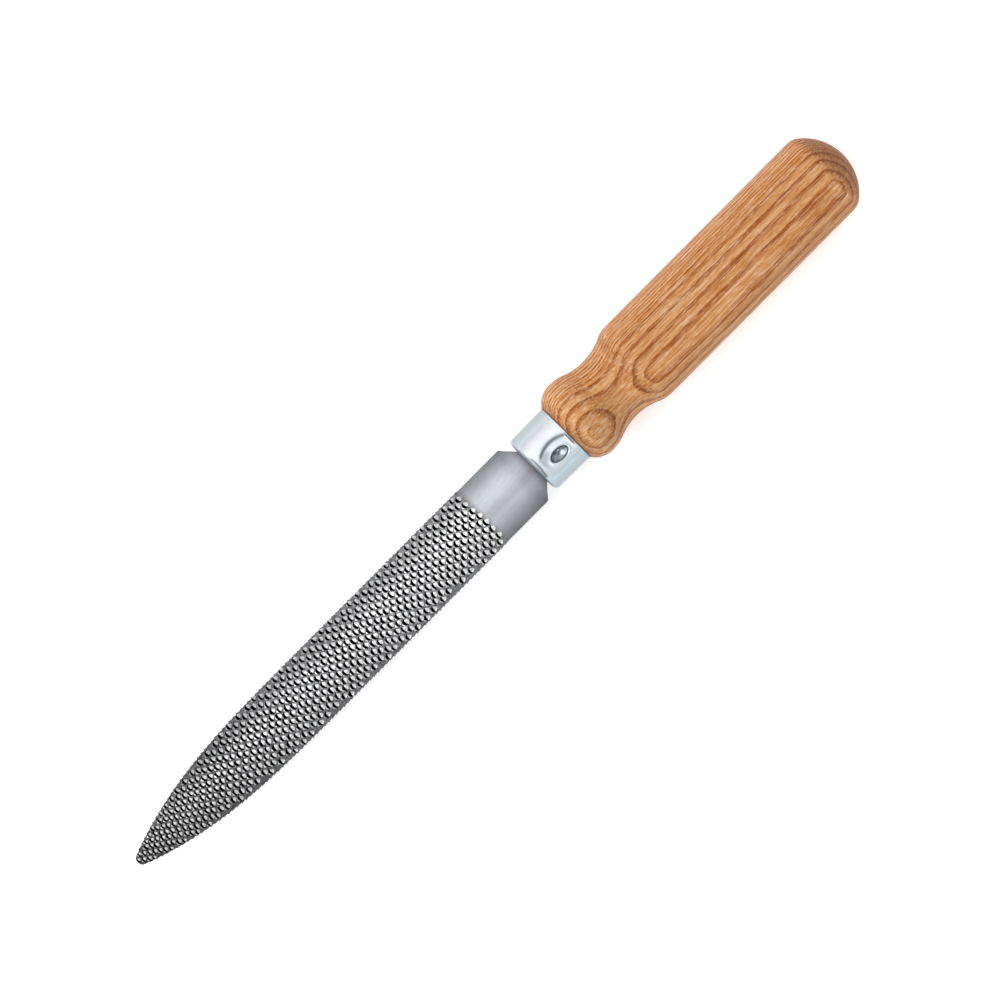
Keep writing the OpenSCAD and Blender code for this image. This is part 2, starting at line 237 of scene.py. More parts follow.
class Tooth:
    """One tooth with the pit in front of it. In its own coordinates, along runs towards the
    handle and across runs towards +Y."""

    def __init__(self, x, arc, key, size, low):
        self.x, self.arc = x, arc
        self.half = 0.94 * size * (1 + 0.08 * jitter(key, 3))
        self.crest_height = 0.50 * low * (1 + 0.14 * jitter(key, 4))
        self.tail_length = 1.52 * size * (1 + 0.10 * jitter(key, 5))
        self.pit_length = 0.78 * size * (1 + 0.14 * jitter(key, 6))
        self.depth = 0.42 * low * (1 + 0.15 * jitter(key, 7))
        turn = 0.10 * jitter(key, 8)
        self.cos, self.sin = math.cos(turn), math.sin(turn)
        self.skew = 0.10 * jitter(key, 9)

    def to_face(self, along, across):
        return (self.x - (along * self.cos - across * self.sin),
                self.arc + (along * self.sin + across * self.cos))

    def to_local(self, x, arc):
        dx, darc = self.x - x, arc - self.arc
        return dx * self.cos + darc * self.sin, -dx * self.sin + darc * self.cos

    def part(self, across):
        return min(1.0, abs(across / self.half))

    def edge(self, across):
        q = across / self.half
        return 0.30 * self.half * q * q + self.skew * q * self.half

    def tail(self, across):
        return self.tail_length * (1 - self.part(across) ** 2.1) + 0.02

    def pit(self, across):
        return self.pit_length * (1 - self.part(across) ** 5) ** 0.5 + 0.02

    def crest(self, across):
        return self.crest_height * (1 - self.part(across) ** 2.8) ** 0.66

    def height(self, along, across):
        if abs(across) >= self.half:
            return 0.0
        behind = along - self.edge(across)
        if behind >= 0:
            tail = self.tail(across)
            if behind >= tail:
                return 0.0
            return self.crest(across) * (1 - (behind / tail) ** 1.25)
        pit = self.pit(across)
        if -behind >= pit:
            return 0.0
        return -self.depth * (1 - self.part(across) ** 4) ** 0.5 * (1 + behind / pit) ** 0.75


STEP_X, STEP_Y = 1.655, 1.10    # from tooth to tooth along a line
LINE_PITCH = 3.70
TEETH_START = HEEL_X + 0.80
CLOSE = 40.0                    # over this length at the tip the teeth close up
CLOSE_CURVE = 0.0032


def lay_teeth(side, seed):
    """Teeth of one face (side 1 is the round back), in slanting lines from edge to edge."""
    teeth = []
    bend = TIP_X - CLOSE
    reach = (1 - math.sqrt(1 - 4 * CLOSE_CURVE * CLOSE)) / (2 * CLOSE_CURVE)
    span = 2 * HEEL_HALF * STEP_X / STEP_Y
    drift = 0.0
    for k in range(int((bend + reach - HEEL_X + span) / LINE_PITCH) + 2):
        line_x = HEEL_X - span / 2 + k * LINE_PITCH
        # near the heel the lines begin level with each other, further on they drift apart
        loose = min(1.0, max(0.15, (k - 5) / 6.0))
        drift += 0.30 * loose * jitter(seed, k, 2)
        phase = ((line_x - TEETH_START) / STEP_X + drift) % 1.0
        line_x += 0.14 * loose * jitter(seed, k, 1)
        for i in range(-11, 12):
            place = i + phase
            x = line_x - place * STEP_X
            if x > bend:
                x = bend + (x - bend) - CLOSE_CURVE * min(x - bend, reach) ** 2
            near_tip = max(0.0, 1 - (TIP_X - x) / CLOSE)
            y = side * place * STEP_Y * (1 - 0.26 * near_tip)
            if x < TEETH_START - 0.25 or x > TIP_X - 0.45:
                continue
            bow = max(0.0, (2.0 - y * side) / 12.0) ** 1.3
            bow = 1.15 * bow * math.exp(-(x - TEETH_START) / 22.0)
            x += bow + 0.16 * math.sin(0.30 * y + 0.9 * k) + 0.17 * jitter(seed, i + 20, k, 1)
            y += 0.10 * jitter(seed, i + 20, k, 2)
            half = half_width(x)
            if y * side > half - 0.80 * (1 - 0.5 * near_tip) or y * side < 0.34 - half:
                continue
            arc = BACK_R * math.asin(max(-1, min(1, y / BACK_R))) if side > 0 else y
            size = 1 - 0.27 * near_tip
            low = 1 - 0.30 * near_tip
            if abs(y) > half - 0.9:
                size *= 0.88
                low *= 0.9
            teeth.append(Tooth(x, arc, seed * 100003 + (i + 20) * 1009 + k, size, low))
    return teeth


# ================================================================ BLADE FACES
TOOTH_CELL = 2      # grid cells for finding teeth
POINT_CELL = 0.5    # grid cells for finding points
FILL_STEP = 0.46    # between filler points among the teeth
FILL_GAP = 0.34     # smallest distance from a filler point to any other


def cell(x, arc, size):
    return int(x // size), int(arc // size)


class FaceSkin:
    """Points of one face, laid out flat as x and arc length from the middle line."""

    def __init__(self, side, seed):
        self.side, self.seed = side, seed
        self.points = []
        # details: height, a pit value painted as shade, and gloss that is also painted as a
        # highlight
        self.details = []       # height, pit and shine of each point
        self.edges = []         # lines the triangles must follow
        self.teeth = lay_teeth(side, seed)
        self.grid = {}
        for tooth in self.teeth:
            self.grid.setdefault(cell(tooth.x, tooth.arc, TOOTH_CELL), []).append(tooth)

    def limit(self, x):
        half = half_width(x)
        if self.side > 0:
            return BACK_R * math.asin(min(0.999, half / BACK_R))
        return half

    def height(self, x, arc, skip=None):
        """Height from the highest tooth and the deepest pit near a place."""
        up, down = 0.0, 0.0
        i, j = cell(x, arc, TOOTH_CELL)
        for di in range(-2, 3):
            for dj in range(-1, 2):
                for tooth in self.grid.get((i + di, j + dj), ()):
                    if tooth is skip:
                        continue
                    height = tooth.height(*tooth.to_local(x, arc))
                    if height > up:
                        up = height
                    elif height < down:
                        down = height
        return up + down

    def add(self, x, arc, height=0.0, pit=0.0, gloss_highlight=0.0):
        self.points.append((x, arc))
        self.details.append((height, pit, gloss_highlight))
        return len(self.points) - 1

    def inside(self, x, arc, margin=0.10):
        return (STATIONS[0] + margin < x < STATIONS[-1] - margin
                and abs(arc) < self.limit(x) - margin)

    def add_inside(self, x, arc, *detail):
        """Adds a point and returns its index, or None outside the outline."""
        return self.add(x, arc, *detail) if self.inside(x, arc) else None


def outline(skin):
    """Adds the border of a face and returns its four runs of points."""
    low = [skin.add(x, -skin.limit(x)) for x in STATIONS]
    high = [skin.add(x, skin.limit(x)) for x in STATIONS]
    for i in range(len(STATIONS) - 1):
        skin.edges += [(low[i], low[i + 1]), (high[i], high[i + 1])]
    runs = {"low": low, "high": high}
    for key, index, count in (("start", 0, 15), ("end", -1, 4)):
        x = STATIONS[index]
        between = [skin.add(x, q * skin.limit(x)) for q in np.linspace(-1, 1, count)[1:-1]]
        runs[key] = [low[index]] + between + [high[index]]
        skin.edges += list(zip(runs[key][:-1], runs[key][1:]))
    return runs


def punch_tooth(skin, tooth):
    """Adds the points of one tooth."""
    crest, foot = [], []
    # the crest gets a high gloss value, which the steel also paints as a highlight
    for q in CREST_ROW:
        across = q * tooth.half
        edge = tooth.edge(across)
        x, arc = tooth.to_face(edge + 0.03, across)
        crest.append(skin.add_inside(x, arc, tooth.crest(across), 0.0, 1.0 - 0.55 * q * q))
        x, arc = tooth.to_face(edge - 0.04, across)
        height = tooth.height(edge - 0.04, across) + 0.3 * skin.height(x, arc, tooth)
        foot.append(skin.add_inside(x, arc, height, 1.0))
    for line in (crest, foot):
        for i, j in zip(line[:-1], line[1:]):
            if i is not None and j is not None:
                skin.edges.append((i, j))
    # floor of the pit, given a pit value that the steel paints black as shade
    for q in PIT_ROW:
        across = q * tooth.half
        for part in (0.42, 0.82):
            along = tooth.edge(across) - part * tooth.pit(across)
            x, arc = tooth.to_face(along, across)
            height = tooth.height(along, across) + 0.5 * skin.height(x, arc, tooth)
            skin.add_inside(x, arc, height, 1.0)
    # rim of the pit, raised a little
    for q in PIT_RIM_ROW:
        across = q * tooth.half
        x, arc = tooth.to_face(tooth.edge(across) - tooth.pit(across) - 0.05, across)
        height = skin.height(x, arc, tooth)
        pit, gloss_highlight = (0.0, 0.85 * (1 - q * q)) if height > -0.05 else (0.6, 0.0)
        skin.add_inside(x, arc, height + 0.06 * (1 - q * q), pit, gloss_highlight)
    for row, part, gloss_highlight in TAIL_ROWS:
        for k, q in enumerate(row):
            across = q * tooth.half
            along = tooth.edge(across) + part * tooth.tail(across)
            x, arc = tooth.to_face(along, across)
            height = tooth.height(along, across) + 0.022 * jitter(x * 70, arc * 70, k)
            skin.add_inside(x, arc, height, 0.0, gloss_highlight * (1 - 0.7 * q * q))
    # ground just behind the tooth
    for k, q in enumerate(SURROUND_ROW):
        across = q * tooth.half
        along = tooth.edge(across) + tooth.tail(across) + 0.03 + (0.05 if abs(q) > 1 else 0)
        x, arc = tooth.to_face(along, across)
        height = skin.height(x, arc)
        rough = 0.03 * jitter(x * 90, arc * 90, k)
        skin.add_inside(x, arc, height * 0.8 + rough, 0.0 if height > -0.05 else 0.5)


def fill_face(skin):
    """Adds filler points: fine among the teeth, wider on the smooth heel."""
    taken = {}
    for x, arc in skin.points:
        taken.setdefault(cell(x, arc, POINT_CELL), []).append((x, arc))

    def free(x, arc):
        i, j = cell(x, arc, POINT_CELL)
        for di in (-1, 0, 1):
            for dj in (-1, 0, 1):
                for other_x, other_arc in taken.get((i + di, j + dj), ()):
                    if (other_x - x) ** 2 + (other_arc - arc) ** 2 < FILL_GAP * FILL_GAP:
                        return False
        return True

    seed = skin.seed
    for i, row_x in enumerate(np.arange(HEEL_X - 0.6, STATIONS[-1] - 0.2, FILL_STEP)):
        limit = skin.limit(row_x)
        for j in range(int(-limit // FILL_STEP) - 1, int(limit // FILL_STEP) + 2):
            x = row_x + 0.12 * jitter(seed, i, j, 31)
            arc = (j + 0.5 * (i % 2)) * FILL_STEP + 0.12 * jitter(seed, i, j, 32)
            if skin.inside(x, arc, 0.2) and free(x, arc):
                height = skin.height(x, arc)
                skin.add(x, arc, height + 0.022 * jitter(seed, i, j, 33),
                         0.0 if height > -0.04 else 0.6)
                taken.setdefault(cell(x, arc, POINT_CELL), []).append((x, arc))
    for x in np.arange(STATIONS[0] + 0.7, HEEL_X - 0.7, 1.0):
        limit = skin.limit(x)
        count = max(4, int(round(2 * limit / 0.9)))
        for q in np.linspace(-1, 1, count + 1)[1:-1]:
            if skin.inside(x, q * limit, 0.25):
                skin.add(x, q * limit)


def build_face(side, seed):
    """Returns the points of a face, its triangles, its border runs, and the pit and gloss
    values, which the steel paints as shade in the pits and as highlights on the teeth.
    """
    skin = FaceSkin(side, seed)
    runs = outline(skin)
    for tooth in skin.teeth:
        punch_tooth(skin, tooth)
    fill_face(skin)

    result = delaunay_2d_cdt([Vector(p) for p in skin.points], skin.edges, [], 1, 1e-5, True)
    flat, tris, sources = result[0], np.array(result[2]), result[3]
    new_index = {}
    details = np.zeros((len(flat), 3))
    for k, source in enumerate(sources):
        if source:
            details[k] = skin.details[source[0]]
            for old in source:
                new_index[old] = k
        else:
            # a crossing of two lines has no point of its own yet
            height = skin.height(flat[k][0], flat[k][1])
            details[k] = height, (0.0 if height > -0.04 else 0.7), 0.0
    flat = np.array([(p[0], p[1]) for p in flat])
    place = top_point if side > 0 else low_point
    points = np.array([place(x, arc, height)
                       for (x, arc), height in zip(flat, details[:, 0])])
    # none outside the outline in the notches
    middle = flat[tris].mean(1)
    border = np.interp(middle[:, 0], STATIONS, [skin.limit(x) for x in STATIONS])
    tris = tris[(np.abs(middle[:, 1]) < border + 1e-4) | (middle[:, 0] > SHOULDER_X)]
    # every triangle faces outwards
    first = flat[tris[:, 1]] - flat[tris[:, 0]]
    second = flat[tris[:, 2]] - flat[tris[:, 0]]
    area = first[:, 0] * second[:, 1] - first[:, 1] * second[:, 0]
    flip = area < 0 if side > 0 else area > 0
    tris[flip] = tris[flip][:, ::-1]
    runs = {key: [new_index[k] for k in run] for key, run in runs.items()}
    return points, tris, runs, details[:, 1:]


# ================================================================ BLADE
TANG_SECTIONS = 26
TANG_ROOT_HALF, TANG_RIM_HALF, TANG_TIP_HALF = 5.3, 3.65, 1.45
TANG_HEIGHT, TANG_TIP_HEIGHT = 1.95, 1.45      # half the thickness
TANG_BEVEL = 0.35


def build_tang():
    """Bevelled, tapering tang, from inside the ferrule's opening into the handle."""
    points = []
    front = SKIN_END + 0.6
    waist = RIM_X + 2.2
    for k in range(TANG_SECTIONS + 1):
        q = k / TANG_SECTIONS
        x = front * (1 - q) + (TANG_END + 0.05) * q
        if x > waist:
            part = (front - x) / (front - RIM_X - 2.2)
            half = TANG_ROOT_HALF * (1 - part) + TANG_RIM_HALF * part
        else:
            part = (waist - x) / (waist - TANG_END)
            half = TANG_RIM_HALF * (1 - part) + TANG_TIP_HALF * part
        height = TANG_HEIGHT
        if x <= RIM_X:
            height += (TANG_TIP_HEIGHT - TANG_HEIGHT) * (RIM_X - x) / (RIM_X - TANG_END)
        if k == TANG_SECTIONS:
            half, height = half * 0.8, height * 0.8
        side_z, face_y = height - TANG_BEVEL, half - TANG_BEVEL
        ring = [(half, -side_z), (half, side_z), (face_y, height), (-face_y, height),
                (-half, side_z), (-half, -side_z), (-face_y, -height), (face_y, -height)]
        points += [(x, y, z) for y, z in ring]
    tris = []
    for k in range(TANG_SECTIONS):
        for i in range(8):
            near, after = k * 8 + i, k * 8 + (i + 1) % 8
            tris += [(near, near + 8, after + 8), (near, after + 8, after)]
    last = TANG_SECTIONS * 8
    for i in range(1, 7):
        tris += [(0, i, i + 1), (last, last + i + 1, last + i)]
    return np.array(points), np.array(tris)


def build_blade():
    top, top_tris, top_runs, top_values = build_face(1, 1)
    low, low_tris, low_runs, low_values = build_face(-1, 2)
    offset = len(top)
    low_runs = {key: [k + offset for k in run] for key, run in low_runs.items()}
    skin = np.concatenate([top, low])
    face_values = np.concatenate([top_values, low_values])
    parts = [top, low]
    faces = [top_tris, low_tris + offset]
    count = len(skin)
    # edges: two rows of points between the faces carry the spikes
    edge_rows = {}
    for side, key in ((1, "high"), (-1, "low")):
        upper, lower = top_runs[key], low_runs[key]
        rows = []
        for up, reach in ((0.70, 0.75), (0.35, 1.0)):
            row = skin[upper] * up + skin[lower] * (1 - up)
            for i, spike in enumerate(SPIKES):
                row[i, 1] += side * spike * reach * (1 + 0.2 * jitter(side, i, up * 10))
            parts.append(row)
            rows.append(list(range(count, count + len(row))))
            count += len(row)
        edge_rows[key] = rows
        quads = []
        strips = [upper, *rows, lower]
        for above, below in zip(strips[:-1], strips[1:]):
            for i in range(len(STATIONS) - 1):
                quad = (above[i], above[i + 1], below[i + 1], below[i])
                quads.append(quad if side < 0 else quad[::-1])
        quads = np.array(quads)
        faces.append(np.concatenate([quads[:, [0, 1, 2]], quads[:, [0, 2, 3]]]))
    # end caps, as fans round a centre point
    border = np.concatenate(parts)
    (high_1, high_2), (low_1, low_2) = edge_rows["high"], edge_rows["low"]
    for key, index, flip in (("start", 0, True), ("end", -1, False)):
        ring = (top_runs[key] + [high_1[index], high_2[index]]
                + low_runs[key][::-1] + [low_2[index], low_1[index]])
        parts.append(border[ring].mean(0)[None, :])
        fan = np.array([(k, after, count) for k, after in zip(ring, ring[1:] + ring[:1])])
        faces.append(fan[:, ::-1] if flip else fan)
        count += 1
    tang, tang_tris = build_tang()
    parts.append(tang)
    faces.append(tang_tris + count)
    points = np.concatenate(parts)
    values = np.zeros((len(points), 2))
    values[:len(face_values)] = face_values
    # the pit value paints the pits black as shade, and the top value is the gloss of the tooth
    # tops, also painted as a highlight
    return new_mesh("rasp_blade", points, np.concatenate(faces).tolist(), sharp_deg=42,
                    values={"pit": values[:, 0], "top": values[:, 1]})


# ================================================================ FERRULE
FERRULE_R = 9.45            # at the rear rim
FERRULE_FRONT_R = 9.35
WALL = 1.0
CORNER_R = 1.6              # rounded front corner
CORNER_CENTRE_R = FERRULE_FRONT_R - CORNER_R
CORNER_CENTRE_X = FRONT_X - CORNER_R
HOLE_R = 6.7
LIP = 0.22
FERRULE_STEPS = 92          # along the outside of the tube
FERRULE_SEGMENTS = 300
CRIMP_ANGLE = math.radians(19)      # from the top towards +Y
CRIMP_X = RIM_X + 5.5
CRIMP_ARC_R = 9.40
PUNCH_HALF_X, PUNCH_HALF_ARC = 3.03, 1.90

# Round spots in the punch mark: along X, round the ferrule, radius. The first set is painted
# dark as shade; the second is kept clear of the painted shade and shows as bright highlights.
SHADED_SPOTS = ((0.60, -0.95, 1.00), (-1.95, -0.60, 1.00), (-0.6, -0.35, 0.60), (2.2, 0.1, 0.60))
HIGHLIGHT_SPOTS = ((-0.95, 0.62, 0.66), (-0.45, -0.98, 0.30))


def crimp_place(x, phi):
    """Distances from the punch mark along X and round the ferrule, the distance past the
    crease, and the distance in units of the oval mark's own size."""
    turn = (phi - CRIMP_ANGLE + math.pi) % (2 * math.pi) - math.pi
    around = turn * CRIMP_ARC_R
    dx = x - CRIMP_X
    past = around + 4.85 - 1.24 * (dx / 4.4) ** 2
    oval = math.sqrt((dx / PUNCH_HALF_X) ** 2 + (around / PUNCH_HALF_ARC) ** 2)
    return dx, around, past, oval


def crimp_offset(x, phi):
    """How far the ferrule's wall is pushed inwards at x and at angle phi."""
    dx, around, past, oval = crimp_place(x, phi)
    depth = 0.0
    # flattened patch, with a crease where the wall folded
    if past > 0 and abs(dx) < 5.2:
        ends = 1 - smooth_step(abs(dx), 3.9, 5.1)
        fade = max(0.0, 1 - past / 8.6) ** 1.35
        depth += 0.46 * smooth_step(past, 0.0, 1.05) * ends * fade
    # oval punch mark: flat floor, hollow middle, raised rim and an uneven floor
    if oval < 1.3:
        depth += 0.38 * (1 - smooth_step(oval, 0.82, 1.04))
        depth += 0.95 * max(0.0, 1 - oval * oval) ** 0.75
        depth -= 0.06 * math.exp(-((oval - 1.12) / 0.10) ** 2)
        if oval < 0.9:
            waves = math.sin(2.9 * dx + 0.8) * math.sin(3.3 * around - 0.5)
            depth += 0.10 * waves * (1 - oval)
    # dent in the rear rim, behind the punch mark
    if x < RIM_X + 2.5:
        fade = max(0.0, 1 - (x - RIM_X) / 2.2) ** 2
        depth += 0.22 * math.exp(-((around + 1.3) / 2.3) ** 2) * fade
    return depth


def crimp_shade(x, phi):
    """Painted shade in the crease, in the punch mark and behind the rim, with clear spots that
    show as highlights.
    """
    dx, around, past, oval = crimp_place(x, phi)

    def spot(spot_x, spot_arc, radius):
        away = ((dx - spot_x) / radius) ** 2 + ((around - spot_arc) / radius) ** 2
        return math.exp(-away ** 2)

    # crease
    ends = 1 - smooth_step(abs(dx), 4.3, 5.3)
    soft = 0.64 if past < 0.34 else 0.76
    ferrule_shade = 0.88 * math.exp(-((past - 0.34) / soft) ** 2) * ends
    # ends of the flattened patch
    if 0 < past < 9:
        along = smooth_step(dx, 0.6, 2.8) * (1 - smooth_step(dx, 4.9, 6.0))
        line = math.exp(-((abs(dx) - 4.6) / 0.40) ** 2)
        ferrule_shade = max(ferrule_shade, 0.50 * along * (1 - smooth_step(past, 1.8, 4.8)),
                   0.50 * line * max(0.0, 1 - past / 2.6))
    # punch mark
    if oval < 1.3:
        rim = 0.80 - 0.15 * math.sin(2.1 * math.atan2(around, dx))
        rim *= math.exp(-((oval - 0.92) / 0.10) ** 2)
        floor = 0.80 + 0.10 * math.sin(2.3 * dx + 1.2) * math.cos(2.7 * around + 0.4)
        floor *= 1 - smooth_step(oval, 0.86, 1.02)
        if around < 0:
            outside = math.exp(-((oval - 1.08) / 0.17) ** 2)
            ferrule_shade = max(ferrule_shade, 0.45 * outside * min(1.0, -around))
        if oval < 1.0:
            floor = max(floor, *(0.97 * spot(*place) for place in SHADED_SPOTS))
        for place in HIGHLIGHT_SPOTS:
            near = spot(*place)
            floor *= 1 - near
            rim *= 1 - 0.6 * near
        ferrule_shade = max(ferrule_shade, rim, min(0.95, floor))
    # slit beside the rear rim
    if x < RIM_X + 1.6:
        slit = math.exp(-((x - RIM_X - 0.62) / 0.36) ** 2)
        part = smooth_step(around, -3.9, -3.0) * (1 - smooth_step(around, 0.2, 1.2))
        ferrule_shade = max(ferrule_shade, 0.95 * slit * part)
    return ferrule_shade


def front_shade(x, phi):
    """Painted shade and reflection: a dark line just behind the front edge, on the upper half
    of the rounded corner.
    """
    turn = math.atan2(math.sin(phi), math.cos(phi))
    y = 9.0 * math.sin(turn)
    if abs(turn) > math.pi / 2:
        return 0.22 * smooth_step(x, FRONT_X - 0.5, FRONT_X)
    curve = 0.95 * ((y - 1) / 7) ** 2 if y < 1 else 0.45 * ((y - 1) / 4) ** 2
    line = FRONT_X - 1.15 + curve
    ends = smooth_step(y, -6.6, -5.4) * (1 - smooth_step(y, 4.4, 5.6))
    band = 0.34 + 0.63 * smooth_step(y, -4.5, -0.8)
    band *= math.exp(-((x - line) / 0.43) ** 2) * ends
    rim = smooth_step(x, FRONT_X - 0.42, FRONT_X - 0.10) * (0.14 + 0.36 * ends)
    near = 0.60 * smooth_step(x, line, line + 0.4) * smooth_step(y, -4.5, -2.2) * ends
    return max(rim, near, band)


def ferrule_profile():
    """(radius, x) points round the wall, and how many of them lie outside."""
    slope = FERRULE_FRONT_R - FERRULE_R
    length = CORNER_CENTRE_X - RIM_X
    outer = []
    for k in range(FERRULE_STEPS + 1):
        x = RIM_X + 0.12 + (CORNER_CENTRE_X - RIM_X - 0.12) * (k / FERRULE_STEPS)
        outer.append((FERRULE_R + slope * (x - RIM_X) / length, x))
    outer += arc_points(CORNER_CENTRE_R, CORNER_CENTRE_X, CORNER_R, 0, math.pi / 2, 24)
    outer.append((HOLE_R + 0.25, FRONT_X))
    # rolled edge of the hole
    lip = []
    for k in range(7):
        angle = math.pi * k / 6
        lip.append((HOLE_R + LIP - LIP * math.sin(angle),
                    FRONT_X - WALL / 2 + WALL / 2 * math.cos(angle)))
    inner = [(CORNER_CENTRE_R - 0.1, FRONT_X - WALL)]
    inner += arc_points(CORNER_CENTRE_R, CORNER_CENTRE_X, CORNER_R - WALL,
                        math.pi / 2, 0, 10, first=0)
    for k in range(1, 40):
        x = CORNER_CENTRE_X + (RIM_X + 0.10 - CORNER_CENTRE_X) * (k / 39)
        inner.append((FERRULE_FRONT_R - WALL - slope * (CORNER_CENTRE_X - x) / length, x))
    rear = [(FERRULE_R - WALL + 0.08, RIM_X), (FERRULE_R - 0.5, RIM_X),
            (FERRULE_R - 0.10, RIM_X + 0.005)]
    return outer + lip + inner + rear, len(outer)


def build_ferrule():
    profile, outer_count = ferrule_profile()
    # angular stations, closer together round the crimp
    even = np.linspace(-math.pi, math.pi, FERRULE_SEGMENTS, endpoint=False)
    angles = CRIMP_ANGLE + even - 0.62 * np.sin(even)
    verts, ferrule_shade = [], []
    for i, (radius, x) in enumerate(profile):
        give = min(1.0, max(0.0, (radius - HOLE_R - 0.6) / 1.2))
        for phi in angles:
            if i <= FERRULE_STEPS:
                ferrule_shade.append(crimp_shade(x, phi))
            elif i <= outer_count - 2:
                ferrule_shade.append(front_shade(x, phi))
            else:
                # painted shade inside the cap and in its mouth
                ferrule_shade.append(0.8)          # inside the cap and in its mouth
            bent = radius - crimp_offset(x, phi) * give
            # the tube is not perfectly round
            bent += 0.018 * math.sin(2 * phi + 0.6) + 0.010 * math.sin(5 * phi + x * 0.3)
            verts.append((x, bent * math.sin(phi), bent * math.cos(phi)))
    faces = []
    for i in range(len(profile)):
        following = (i + 1) % len(profile) * FERRULE_SEGMENTS
        faces += ring_faces(i * FERRULE_SEGMENTS, following, FERRULE_SEGMENTS)
    return new_mesh("rasp_ferrule", verts, faces, sharp_deg=60, values={"ferrule_shade": ferrule_shade})


# ================================================================ HANDLE
NECK_R, BULB_R = 10.5, 12.62
# Radii of the arcs along the profile, from the butt to the ferrule.
BUTT_ARC, BUTT_BLEND = 15.4, 5.0
GRIP_BLEND, NECK_ARC, BULB_BACK, BULB_FRONT = 8.5, 17.4, 14.65, 6.62
HANDLE_SEGMENTS = 176
NOSE_GAP = 0.03         # between the wood and the ferrule's wall
SLOT_HALF_Y, SLOT_HALF_Z, SLOT_DEPTH = 5.55, 2.02, 9.0


def handle_profile():
    """(radius, x) from the butt's centre to the ferrule's rear rim."""
    quarter = math.pi / 2
    blend_r = GRIP_R - BUTT_BLEND
    butt_x = -GRIP_HALF + math.sqrt((BUTT_ARC - BUTT_BLEND) ** 2 - blend_r ** 2)
    butt_turn = math.atan2(blend_r, GRIP_HALF + butt_x)
    points = arc_points(0, butt_x, BUTT_ARC, -quarter, butt_turn - quarter, 24, first=0)
    points += arc_points(blend_r, -GRIP_HALF, BUTT_BLEND, butt_turn - quarter, 0, 14)
    points += [(GRIP_R, -GRIP_HALF + 2 * GRIP_HALF * k / 56) for k in range(1, 57)]

    rear_turn = math.acos(1 - (GRIP_R - NECK_R) / (GRIP_BLEND + NECK_ARC))
    neck_x = GRIP_HALF + (GRIP_BLEND + NECK_ARC) * math.sin(rear_turn)
    bulb_turn = math.acos(1 - (BULB_R - NECK_R) / (BULB_BACK + NECK_ARC))
    bulb_x = neck_x + (BULB_BACK + NECK_ARC) * math.sin(bulb_turn)
    front_turn = math.asin((RIM_X - bulb_x - 0.02) / BULB_FRONT)
    # a negative radius makes the arc hollow
    points += arc_points(GRIP_R - GRIP_BLEND, GRIP_HALF, GRIP_BLEND, 0, rear_turn, 8)
    points += arc_points(NECK_R + NECK_ARC, neck_x, -NECK_ARC, rear_turn, 0, 12)
    points += arc_points(NECK_R + NECK_ARC, neck_x, -NECK_ARC, 0, -bulb_turn, 10)
    points += arc_points(BULB_R - BULB_BACK, bulb_x, BULB_BACK, -bulb_turn, 0, 9)
    points += arc_points(BULB_R - BULB_FRONT, bulb_x, BULB_FRONT, 0, front_turn, 16)
    return points


def nose_profile(front):
    """(radius, x) of the part inside the ferrule."""
    rear_r = FERRULE_R - WALL - NOSE_GAP
    front_r = FERRULE_FRONT_R - WALL - NOSE_GAP
    points = [(rear_r + 0.2, RIM_X - 0.01), (rear_r, RIM_X + 0.15)]
    for k in range(1, 24):
        q = k / 24
        points.append((rear_r + (front_r - rear_r) * q,
                       RIM_X + 0.15 + (front - 0.9 - RIM_X - 0.15) * q))
    return points + [(front_r - 0.1, front - 0.75), (front_r - 0.7, front - 0.1),
                     (front_r - 1.0, front)]


def build_handle():
    front = FRONT_X - WALL - 0.2
    butt, *rings = handle_profile() + nose_profile(front)
    count = HANDLE_SEGMENTS
    angles = [2 * math.pi * k / count for k in range(count)]
    verts = [(butt[1], 0.0, 0.0)]
    for radius, x in rings:
        for phi in angles:
            turned = radius
            if x > RIM_X + 0.2:
                turned -= crimp_offset(x, phi) * 1.02
            elif radius > 9.6:
                # turned by hand: very slightly uneven
                turned -= 0.012 * (1 + math.sin(x * 0.7 + 2 * math.sin(phi)))
            verts.append((x, turned * math.sin(phi), turned * math.cos(phi)))
    # the front of the nose runs in to the tang's slot, which narrows inwards
    for x, narrowing in ((front, 1.0), (front - SLOT_DEPTH, 0.66)):
        for phi in angles:
            y, z = math.sin(phi), math.cos(phi)
            reach = min(SLOT_HALF_Y / max(1e-6, abs(y)), SLOT_HALF_Z / max(1e-6, abs(z)))
            verts.append((x, y * reach * narrowing, z * reach))
    verts.append((front - SLOT_DEPTH, 0, 0))
    faces = [(0, 1 + (k + 1) % count, 1 + k) for k in range(count)]
    for i in range(len(rings) + 1):
        faces += ring_faces(1 + i * count, 1 + (i + 1) * count, count)
    centre = len(verts) - 1
    last = centre - count
    faces += [(last + k, last + (k + 1) % count, centre) for k in range(count)]
    return new_mesh("rasp_handle", verts, faces, sharp_deg=50)


# ================================================================ SHADER HELPERS
def rgba(color):
    """Colour with alpha from a grey value or an RGB tuple. A socket is returned as it is."""
    if isinstance(color, bpy.types.NodeSocket):
        return color
    if isinstance(color, (int, float)):
        return (color, color, color, 1)
    return tuple(color) + (1,)


